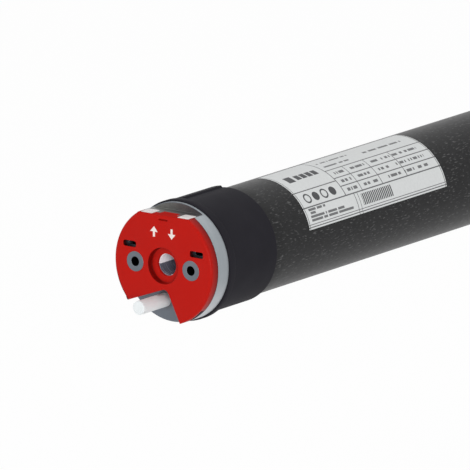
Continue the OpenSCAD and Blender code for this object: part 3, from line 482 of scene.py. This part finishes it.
def slot_edge(x, z, length, width, corner, count=64):
    """An opening's outline as a function of grow, by which it is let out: quarter circles about
    four centres; a circle where the corner is half of the length and of the width."""
    a = (np.arange(count) + 0.5) * 2 * np.pi / count
    shift_x = np.sign(np.cos(a)) * (length / 2 - corner)
    shift_z = np.sign(np.sin(a)) * (width / 2 - corner)
    return lambda grow: (x, z) + np.stack([shift_x, shift_z], -1) + polar(corner + grow, a)


def lip_rows(size, steps):
    """Rows (grow, y) of a rounded front edge, which narrows to the opening's outline."""
    f = np.linspace(0, np.pi / 2, steps)
    return np.stack([size * (1 - np.sin(f)), size * (1 - np.cos(f))], -1)


def hole_wall(edge, rows):
    """The wall of a hole: its outline let out and set back by each row's (grow, y)."""
    loops = [edge(grow) for grow, _ in rows]
    points = np.concatenate([at_depth(loop, y) for loop, (_, y) in zip(loops, rows)])
    return points, grid_faces(len(rows), len(loops[0])), True


def rounded_box(low, high, size, steps=5, crown=0.0):
    """A box with rounded edges and corners: points on the six sides of a box are drawn back
    to a core, and pushed out from it by the rounding. crown lifts the middle of the top."""
    low, high = np.asarray(low, float), np.asarray(high, float)
    ease = size * np.tan(np.linspace(0, np.pi / 4, steps))
    surfaces = []
    for axis in range(3):
        u, v = (axis + 1) % 3, (axis + 2) % 3
        ticks = [np.concatenate([low[k] + size - ease[::-1],
                                 np.linspace(low[k] + size, high[k] - size, 9)[1:-1],
                                 high[k] - size + ease]) for k in (u, v)]
        grid_u, grid_v = np.meshgrid(*ticks, indexing="ij")
        for end in (low, high):
            points = np.empty((*grid_u.shape, 3))
            points[..., u], points[..., v], points[..., axis] = grid_u, grid_v, end[axis]
            core = np.clip(points, low + size, high - size)
            away = points - core
            points = core + size * away / np.linalg.norm(away, axis=-1, keepdims=True)
            across = (2 * points - low - high) / (high - low)
            dome = crown * np.clip(across[..., 2], 0, 1)
            points[..., 2] += dome * (1 - across[..., 0] ** 2) * (1 - across[..., 1] ** 2)
            surfaces.append((points.reshape(-1, 3), grid_faces(*grid_u.shape, closed=False), True))
    return surfaces


def tucked_in(loop, kind, cut):
    """Where the skirt's end turns in to the step: round the step along the rim, straight down
    from the flat, and to the notch's crossing with the step along the notch."""
    crossing = notch_ends(step_r)
    upper_stop, lower_stop = np.arctan2(crossing[:, 1], crossing[:, 0])
    flat_stop = np.arccos(np.sqrt(cover_r ** 2 - flat_z ** 2) / step_r)
    seam = 1.4
    around = np.mod(np.arctan2(loop[:, 1], loop[:, 0]) + seam, 2 * np.pi) - seam
    around = np.where(loop[:, 0] > 0, np.clip(around, lower_stop, flat_stop),
                      np.clip(around, np.pi - flat_stop, upper_stop + 2 * np.pi))
    lowered = np.minimum(cut[:, 1], np.sqrt(np.maximum(step_r ** 2 - cut[:, 0] ** 2, 0)))
    at_notch = np.where((loop[:, 0] < notch_corner[0] - 1)[:, None], crossing[0], crossing[1])
    outside_step = np.linalg.norm(cut, axis=1) > step_r
    tucked = np.where((kind <= LIFT)[:, None], polar(step_r, around), cut)
    tucked = np.where((kind == FLAT)[:, None], np.stack([cut[:, 0], lowered], -1), tucked)
    return np.where(((kind == NOTCH) & outside_step)[:, None], at_notch, tucked)


def cover_wall():
    """The cover's side: the outline set in by r (1 - sin f) at depth r (1 - cos f) for the
    front round, then straight back, with the pockets dropped and the lift flat cut, and the
    skirt's end tucked in. Returns the surface and its front and back loops."""
    loop, kind = cover_edge()
    normal = outward(loop)
    on_rim = kind <= LIFT
    run = np.concatenate([[0], np.cumsum(np.linalg.norm(np.diff(loop, axis=0), axis=1))])
    corners = run[np.flatnonzero(np.diff(on_rim.astype(int), append=int(on_rim[0])))]
    gap = np.abs(run[:, None] - np.append(corners, [0, run[-1]])).min(1)
    share = np.clip(gap / round_run, 0, 1)
    r = np.where(on_rim, edge_round + (cover_round - edge_round) * share ** 2 * (3 - 2 * share), edge_round)
    rows = [(loop - normal * (r * (1 - np.sin(f)))[:, None], r * (1 - np.cos(f)))
            for f in np.linspace(0, np.pi / 2, 8)]
    front = rows[0][0]
    start = np.maximum(r, pocket_y)
    lift_start = np.maximum(start, lift_y)
    pocket = np.stack([loop[:, 0], np.full(len(loop), pocket_floor)], -1)
    dropped = np.where((kind == POCKET)[:, None], pocket, loop)
    axis = polar(1.0, lift_angle)
    above = np.maximum(dropped @ axis - lift_plane, 0) * (kind == LIFT)
    cut = dropped - above[:, None] * axis
    tucked = tucked_in(loop, kind, cut)
    end = np.where(np.linalg.norm(cut, axis=1) > step_r + 0.02, skirt_end, cover_thick)
    rows += [(loop, start), (dropped, start), (dropped, lift_start), (cut, lift_start),
             (cut, end), (tucked, end), (tucked, cover_thick)]
    points = np.concatenate([at_depth(edge, depth) for edge, depth in rows])
    return (points, grid_faces(len(rows), len(loop)), True), front, tucked


def spaced(loop):
    """The loop without doubled points."""
    return loop[np.linalg.norm(np.roll(loop, -1, 0) - loop, axis=1) > 1e-6]


wall, front_loop, back_loop = cover_wall()
recess = slot_edge(0, 0, 2 * recess_r, 2 * recess_r, recess_r, 128)
bosses = [slot_edge(at, 0, 2 * boss_opening_r, 2 * boss_opening_r, boss_opening_r, 72)
          for at in (-boss_x, boss_x)]
latches = [slot_edge(at, latch_z, latch_long, latch_wide, corner, 56)
           for at, corner in ((-latch_x, 1.2), (latch_x, 0.6))]
slit = slot_edge(0, flat_z - slit_drop, slit_long, slit_wide, slit_wide / 2, 24)
pin_step = pin_hole_r - recess_r
lip = lip_rows(hole_lip, 4)
through = np.vstack([lip, (0.0, cover_thick)])
undercut = np.vstack([lip, (0.0, 0.45), (latch_undercut, 0.55), (latch_undercut, cover_thick)])
recess_rows = np.vstack([lip_rows(recess_lip, 5), (0.0, recess_y) - lip_rows(recess_round, 5)[:, ::-1],
                         (pin_step, recess_y) + lip_rows(pin_hole_lip, 4), (pin_step, cover_thick)])
front_holes = [recess(recess_lip), slit(hole_lip), *[hole(hole_lip) for hole in bosses + latches]]
back_holes = [recess(pin_step), *[hole(0.0) for hole in bosses], *[hole(latch_undercut) for hole in latches]]
cover_faces = [
    wall,
    flat_face([spaced(front_loop), *front_holes], 0.0),
    flat_face([spaced(back_loop), *back_holes], cover_thick),
    hole_wall(recess, recess_rows),
    *[hole_wall(hole, through) for hole in bosses],
    *[hole_wall(hole, undercut) for hole in latches],
    hole_wall(slit, np.vstack([lip, (0.0, slit_y)])),
    flat_face([slit(0.0)], slit_y),
    *rounded_box((-tab_half, tab_front, flat_z - tab_thick),
                 (tab_half, tab_back, flat_z - tab_gap), tab_round)]

gloss_red = Finish("gloss_red", specular_ior_level=0.08)
orange_peel = mottle(gloss_red, 420, 2)
fade = mottle(gloss_red, 40, 3)
x, y, z = axes(gloss_red)
rise_up = (z - arrow_z) * (1 - (x > 0) * 2)
across = abs(abs(x) - arrow_x)
arrow = (across < (arrow_head - rise_up) * arrow_slope) * (rise_up > 0)
arrow = (arrow | (across < arrow_shaft) * (abs(rise_up + 1) < 1.2)) * (y < 0.05)
ring = x * x + z * z
# Painted shade: the side wall darkens towards its back, the lower-left front edge and the recess wall (most
# on its left) are darker, and the cavities behind the latch openings and the skirt's back edge go dark.
rim = (ring > rim_r ** 2) * ramp(y, 0.6, 4.6)
shade = ramp(ring, 590, 614) * ramp(z, -3, -9) * (x < -2) * (y < 1.2)
well_shade = (abs(ring - well_r ** 2) < well_spread) * (abs(y - well_middle_y) < well_half_y)
well_shade = well_shade * (ramp(x, 3, -3) | 0.25)
latch_cavity_shade = (abs(abs(x) - latch_x) < 5) * (abs(z - latch_z) < 2.9) * (y > 0.4)
inside = latch_cavity_shade | (y > 4.6) * (z < 20.5)
red = blend(gloss_red, fade, paint(168, 17, 9), paint(176, 22, 13))
for share, colour in ((rim, (116, 12, 10)), (shade, (84, 6, 6)), (well_shade, (112, 8, 5)), (inside, (62, 8, 8)),
                      (arrow, (226, 214, 210))):
    red = blend(gloss_red, share, red, paint(*colour))
gloss_red.surface(base_color=red, roughness=0.3 + orange_peel * 0.12 + (z > flat_z - 0.2) * 0.5,
                  normal=relief(gloss_red, orange_peel, 0.00008, 0.25))
cover = joined("red_cap", cover_faces, gloss_red.material)
fitted(cover, "housing", "red_cover", "head_cover")


# The limit buttons: two white moulded caps in pockets on the head's flat top, each on a
# stem over a switch, lifted by a small coil spring.
button_x, button_half, button_y, button_z = 9.5, 2.9, (1.1, 7.1), (19.0, 22.0)
cap_round, cap_crown = 0.45, 0.1
stem_y, stem_r, stem_root, stem_end, stem_edge = 5.55, 0.8, 19.2, 13.1, 0.2
spring_floor, spring_r, spring_wire, press_travel, end_gap = 15.6, 1.25, 0.3, 1.0, 0.025
button_sides = (("left", -button_x), ("right", button_x))
white = speckled("white_moulding", (700, 3), (206, 200, 200), (226, 221, 220),
                 (0.36, 0.15), (0.00004, 0.4, 0.0001), specular_ior_level=0.4)
a = np.linspace(0, 2 * np.pi, 24, endpoint=False)
stem_rows = np.array([(0.0, stem_root), (stem_r, stem_root), (stem_r, stem_end + stem_edge),
                      (stem_r - stem_edge, stem_end), (0.0, stem_end)])
for side_name, side_x in button_sides:
    stem = np.stack([side_x + stem_rows[:, :1] * np.cos(a), stem_y + stem_rows[:, :1] * np.sin(a),
                     np.broadcast_to(stem_rows[:, 1:], (len(stem_rows), len(a)))], -1).reshape(-1, 3)
    cap = rounded_box((side_x - button_half, button_y[0], button_z[0]),
                      (side_x + button_half, button_y[1], button_z[1] - cap_crown),
                      cap_round, crown=cap_crown)
    button = joined("limit_cap_" + side_name, cap + [(stem, grid_faces(len(stem_rows), len(a)), True)], white)
    fitted(button, "button_" + side_name, "white_plastic", "limit_button_" + side_name)
dressed(white, "run_capacitor")

spring_steel = speckled("machined_steel", (900, 2, (0.25, 5, 0.25)), (160, 161, 165), (194, 195, 199),
                        (0.24, 0.22), (0.00003, 0.5, 0.0002), metallic=1.0)


def coil(length, mean_r, wire, curls, sides=12):
    """A round wire wound along Z: its middle goes round a circle of the mean radius and climbs
    evenly, each ring of the wire stands square to that path, and both cut ends are flat."""
    rings = 24 * curls + 1
    t = np.linspace(0, 2 * np.pi * curls, rings)[:, None]
    a = np.linspace(0, 2 * np.pi, sides, endpoint=False)
    climb = (length - wire) / (2 * np.pi * curls)
    slope = np.arctan2(climb, mean_r)
    out, rise = mean_r + wire / 2 * np.cos(a), wire / 2 * np.sin(a)
    lean = rise * np.sin(slope)
    points = np.stack([out * np.cos(t) + lean * np.sin(t), out * np.sin(t) - lean * np.cos(t),
                       wire / 2 + climb * t + rise * np.cos(slope)], -1).reshape(-1, 3)
    ends = [(points[k:k + sides], np.arange(sides)[None, :], False) for k in (0, len(points) - sides)]
    return [(points, grid_faces(rings, sides), True)] + ends


def shortening(name, surfaces, node):
    """A spring that stands on its seat, all in mm; it rides on the housing in place of that
    node, with a mesh of its own."""
    spring = joined(name, surfaces, spring_steel)
    fitted(spring, "housing", "machined_steel", node)
    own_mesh(spring)


spring_room = button_z[0] - spring_floor
for side_name, side_x in button_sides:
    seat = np.array([side_x, stem_y, spring_floor])
    wound = [(points + seat + (0, 0, end_gap), faces, smooth)
             for points, faces, smooth in coil(spring_room - 2 * end_gap, spring_r, spring_wire, 4)]
    shortening("lift_coil_" + side_name, wound, "button_spring_" + side_name)


# The drive crown: a black moulded ring that turns freely on the head's neck and carries
# the blind's tube. It has a collar in front, one long rib, and teeth inside for the counter.
crown_front, collar_end, crown_end = 12.6, 16.5, 47.6
collar_r, barrel_r, bore_r = 26.05, 24.75, 22.35
bore_edge, collar_front_edge, crown_edge, collar_fillet = 0.4, 0.7, 0.4, 0.25
rib_angle, rib_half, rib_height, rib_end = np.radians(106), 3.6, 0.85, 47.1
teeth, tooth_front, tooth_back, tooth_tip, tooth_root, tooth_snap = 92, 32.4, 38.4, 22.55, 23.6, 2.2


def rib_swell(t, y):
    """The rib as added radius: a flat-topped ridge over the rib's width that starts behind the
    collar and ends in a ramp."""
    off = np.abs((t - rib_angle + np.pi) % (2 * np.pi) - np.pi) * barrel_r
    ridge = np.clip((rib_half - off) / 0.7, 0, 1)
    length = np.clip((y - collar_end) / 0.5, 0, 1) * np.clip((rib_end - y) / 0.4, 0, 1)
    on_barrel = (y > collar_end + 0.26) & (y < rib_end + 0.01)
    return rib_height * ridge ** 2 * (3 - 2 * ridge) * length * on_barrel


def tooth_swell(t, y):
    """The inner teeth as added radius: a rounded square wave round the bore, in their band."""
    in_band = (y > tooth_front + 0.01) & (y < tooth_back - 0.01)
    wave = 0.5 + 0.5 * np.tanh(tooth_snap * np.cos(teeth * t)) / np.tanh(tooth_snap)
    return np.where(in_band, (tooth_root - tooth_tip) * wave, 0.0)


rib_y = np.concatenate([np.linspace(collar_end + 0.6, collar_end + 1.2, 3),
                        np.linspace(collar_end + 3, rib_end - 1.2, 8),
                        np.linspace(rib_end - 0.4, rib_end, 5)])
outside = np.concatenate([
    quarter(bore_r + bore_edge, crown_front + bore_edge, bore_edge, 180, 270, 5),
    quarter(collar_r - collar_front_edge, crown_front + collar_front_edge, collar_front_edge, -90, 0, 7),
    quarter(collar_r - crown_edge, collar_end - crown_edge, crown_edge, 0, 90, 5),
    quarter(barrel_r + collar_fillet, collar_end + collar_fillet, collar_fillet, -90, -180, 4),
    straight(barrel_r, rib_y),
    quarter(barrel_r - crown_edge, crown_end - crown_edge, crown_edge, 0, 90, 6),
    quarter(bore_r + bore_edge, crown_end - bore_edge, bore_edge, 90, 180, 5)])
bore = [(bore_r, crown_end - bore_edge), (bore_r, tooth_back), (tooth_tip, tooth_back - 0.02),
        (tooth_tip, tooth_front + 0.02), (bore_r, tooth_front), (bore_r, crown_front + bore_edge)]
columns = teeth * 8
crown = joined("black_crown_ring", [turned(outside, columns, swell=rib_swell),
                                    turned(bore, columns, swell=tooth_swell)], crown_black.material)
fitted(crown, "crown", "black_crown", "drive_crown")


# The counter inside the head: a small nylon pinion in the crown's teeth and the magnet on
# its shaft, whose turning tells the electronics how far the blind has moved.
nylon = speckled("natural_nylon", (300, 3), (206, 203, 190), (226, 223, 210),
                 (0.4, 0.15), (0.00005, 0.3, 0.0002), specular_ior_level=0.4)
dressed(nylon, "encoder_pinion", "electronics_cradle", "board_header", "ring_gear")

iron = Finish("dull_iron", metallic=0.9)
sheets = (iron.node("SeparateXYZ", {}, {0: iron.node("TexCoord", out="Object")}, out="Y") * 2000) % 1
rust = mottle(iron, 800, 4)
iron.surface(base_color=blend(iron, rust, paint(98, 98, 102), paint(132, 132, 136)),
             roughness=0.45 + rust * 0.2,
             normal=relief(iron, (sheets < 0.12) * -0.6 + rust * 0.4, 0.00005, 0.4, 0.0002))
dressed(iron.material, "encoder_magnet", "stator_core", "rotor_core", "brake_yoke", "brake_armature",
        "brake_backplate", "stage_1_carrier", "stage_2_carrier", "output_carrier")


# The motor tube: a drawn steel tube with dark semi-gloss paint, slid over the head's neck
# and the end cap and riveted to both. The paint shows fine pale flecks along its length.
tube_r, tube_bore, tube_front, tube_back, tube_edge = 23.5, 22.3, 47.9, 394.7, 0.35
tube_paint = Finish("dark_tube_paint", specular_ior_level=0.12)
draw = mottle(tube_paint, 1100, 3, (1, 0.3, 1))
fleck = ramp(mottle(tube_paint, 1700, 1, (1, 0.25, 1)), 0.6, 0.6 + 1 / 6)
peel = mottle(tube_paint, 650, 2)
dark = blend(tube_paint, draw, paint(19, 19, 20), paint(40, 40, 41))
tube_paint.surface(base_color=blend(tube_paint, fleck * 0.3, dark, paint(140, 140, 140)),
                   roughness=0.3 + peel * 0.14 + fleck * 0.1,
                   normal=relief(tube_paint, peel + fleck * 0.4, 0.00006, 0.3))
edge_in, edge_out = tube_bore + tube_edge, tube_r - tube_edge
edge_front, edge_back = tube_front + tube_edge, tube_back - tube_edge
tube_rows = np.concatenate([
    quarter(edge_in, edge_front, tube_edge, 180, 270, 5),
    quarter(edge_out, edge_front, tube_edge, -90, 0, 5),
    straight(tube_r, np.linspace(tube_front + 8, tube_back - 8, 30)),
    quarter(edge_out, edge_back, tube_edge, 0, 90, 5),
    quarter(edge_in, edge_back, tube_edge, 90, 180, 5),
    [(tube_bore, edge_front)]])
tube = joined("dark_tube", [turned(tube_rows, 256)], tube_paint.material)
fitted(tube, "housing", "tube_paint", "motor_tube")

zinc = speckled("zinc_rivet", (1400, 3), (104, 105, 108), (138, 139, 142),
                (0.5, 0.2), (0.00005, 0.6, 0.0002), metallic=1.0)
dressed(zinc, "head_rivets", "end_rivets")


# The rating label: a silver-grey film wrapped a quarter of the way round the tube, printed
# with a plain ruled table, a few solid marks and rows of short dashes.
label_r, label_film, label_start, label_length = 23.66, 0.12, 73.0, 100.0
label_angles = (11.0, 101.0)
label_from, label_to = np.radians(label_angles)


def label_sheet():
    """The film: at each angle and length, the outer face at label_r and the inner one below
    it by the film's thickness, joined round its four edges."""
    t, y = np.meshgrid(np.linspace(label_from, label_to, 97),
                       np.linspace(label_start, label_start + label_length, 25), indexing="ij")
    faces = [np.stack([r * np.cos(t), y, r * np.sin(t)], -1) for r in (label_r, label_r - label_film)]
    sides = [np.stack([f[s] for f in faces]) for s in (np.s_[0], np.s_[-1], np.s_[:, 0], np.s_[:, -1])]
    return ([(f.reshape(-1, 3), grid_faces(*t.shape, closed=False), True) for f in faces]
            + [(s.reshape(-1, 3), grid_faces(2, s.shape[1], closed=False), False) for s in sides])


film = Finish("printed_film", specular_ior_level=0.35)
x, y, z = axes(film)
u = y - label_start
v = (film.node("Math", {"operation": "ARCTAN2"}, {0: z, 1: x}) - float(label_from)) * label_r


def arc(degrees):
    """Height on the label, in mm from its lower edge, of an angle round the tube."""
    return float(np.radians(degrees - label_angles[0]) * label_r)


def stripe(place, at, width):
    """1 on a printed line of that width."""
    return abs(place - at) < width / 2


def field_of(u0, u1, v0, v1):
    """1 inside a rectangle of the label."""
    return (abs(u - (u0 + u1) / 2) < (u1 - u0) / 2) * (abs(v - (v0 + v1) / 2) < (v1 - v0) / 2)


def dashes(u0, u1, at, height, fill, size=0.9):
    """A row of short dashes of that height at v = at, broken at random."""
    seed = film.node("CombineXYZ", {}, {0: (u / size).floor(), 1: float(at), 2: fill})
    here = film.node("TexWhiteNoise", {"noise_dimensions": "3D"}, {"Vector": seed}, out="Value") < fill
    return field_of(u0, u1, at - height / 2, at + height / 2) * here


label_top, table_left, table_low, table_middle = arc(label_angles[1]), 31, arc(34), arc(51.5)
rules = stripe(v, 0.9, 0.44) | stripe(v, 2.0, 0.3) | stripe(v, label_top - 0.5, 0.36)
rules = rules | stripe(u, 0.7, 0.34) | stripe(u, label_length - 0.7, 0.36)
rules = rules | stripe(v, table_low, 0.54) | stripe(v, arc(53), 0.48) * (u < table_left)
rules = rules | stripe(u, table_left, 0.5) * (v > table_low)
for angle in (45, 56, 69):
    rules = rules | stripe(v, arc(angle), 0.46) * (u > table_left)
for cell in (43, 58, 76):
    rules = rules | stripe(u, cell, 0.4) * (abs(v - table_middle) < table_middle - table_low)
rules = rules | (stripe(u, 36.4, 0.36) | stripe(u, 38.6, 0.3)) * (v < table_low)

small = dashes(3, 15, 8.3, 1.05, 0.9) | dashes(3, 8, 6.8, 1.05, 0.95)
small = small | dashes(3, 27, 5.2, 1.05, 0.88) | dashes(3, 33, 3.65, 1.05, 0.86)
small = small | dashes(33, 52, arc(76), 1.0, 0.8) | dashes(34, 56, arc(86), 1.0, 0.75)
small = small | dashes(64, 92, arc(80), 1.2, 0.7, 1.4)
for angle in (39.5, 50.5, 62.5):
    small = small | dashes(34, 41, arc(angle), 1.5, 0.7, 0.8) | dashes(46, 56, arc(angle), 1.3, 0.7, 0.8)
    small = small | dashes(61, 94, arc(angle), 1.3, 0.62)

mark_row, heading_row = arc(43.5), arc(73)
dots = [(u - at) * (u - at) + (v - mark_row) * (v - mark_row) for at in (6.5, 12.5, 18.5, 24.5)]
marks = (abs(dots[0] - 4.2) < 1.5) | (dots[1] < 4.6) | (abs(dots[2] - 4.2) < 1.5) | (dots[3] < 4.6)
heading = field_of(5.2, 9.8, heading_row - 2.2, heading_row + 2.2)
blocks = field_of(11.6, 27.2, heading_row - 1.7, heading_row + 1.7) * ((u - 11.6) / 4 % 1 < 0.8)
bars = field_of(40.5, 62, 3.2, table_low - 1.2) * ((u * 0.8) % 1 < 0.62)
ink = (rules * 0.88) | (small * 0.82) | ((marks | heading | blocks | bars) * 0.97)
fibre = mottle(film, 900, 3)
ground = blend(film, fibre, paint(202, 204, 204), paint(218, 220, 220))
film.surface(base_color=blend(film, ink, ground, paint(46, 46, 50)), roughness=0.42 + fibre * 0.14,
             normal=relief(film, fibre, 0.00003, 0.3))
label = joined("ruled_label", label_sheet(), film.material)
fitted(label, "housing", "label_film", "rating_label")


# The electronics: a green control board on a nylon cradle in the front of the tube, with
# relays, a small transformer, a shielded radio and a header; a film capacitor lies behind.
laminate = Finish("green_laminate", specular_ior_level=0.5)
place = laminate.node("TexCoord", out="Object")
tracks = laminate.node("TexBrick", {}, {"Vector": place, "Scale": 260.0, "Mortar Size": 0.03}, out="Fac")
weave = mottle(laminate, 1500, 2)
green = blend(laminate, weave, paint(20, 84, 52), paint(34, 104, 66))
laminate.surface(base_color=blend(laminate, tracks, green, paint(64, 140, 92)), roughness=0.3 + weave * 0.15,
                 normal=relief(laminate, tracks, 0.00004, 0.4, 0.0001))
dressed(laminate.material, "button_board", "control_board")

relay_case = speckled("blue_relay_case", (2000, 3), (28, 60, 122), (42, 78, 146),
                      (0.35, 0.2), (0.00003, 0.4, 0.0003), specular_ior_level=0.5)
dressed(relay_case, "switching_relays")
dressed(spring_steel, "radio_module")


# The motor, brake and gears: a stacked iron stator with copper windings, a rotor on two
# ball bearings, a spring-loaded brake and three planet stages in a nylon ring gear.
brake_seat, brake_room, brake_r, brake_wire, brake_travel = 312.1, 9.6, 7.9, 1.1, 0.6
dressed(spring_steel, "rotor_shaft", "rotor_bearings", "sun_gear")
wound = [(points[:, [0, 2, 1]] * (1, 1, -1) + (0, brake_seat + end_gap, 0), faces, smooth)
         for points, faces, smooth in coil(brake_room - 2 * end_gap, brake_r, brake_wire, 5)]
shortening("brake_pressure_coil", wound, "brake_spring")

lining = speckled("brake_lining", (1300, 5), (150, 138, 118), (206, 194, 174),
                  (0.9, 0), (0.00008, 0.7), specular_ior_level=0.2)
dressed(lining, "brake_disc")

sintered = speckled("sintered_bronze", (2600, 3), (160, 124, 62), (204, 168, 98),
                    (0.34, 0.2), (0.00004, 0.5, 0.0002), metallic=1.0)
dressed(sintered, "output_bush", *[f"stage_{s}_planet_{p}" for s in (1, 2, 3) for p in (1, 2, 3)])


# The output end: a die-cast cap closes the tube and carries the bronze bush of the output
# shaft, which a circlip holds; the shaft's flat drives the wheel that turns the blind.
dressed(cast.material, "end_cap")
dressed(spring_steel, "output_shaft", "output_circlip")
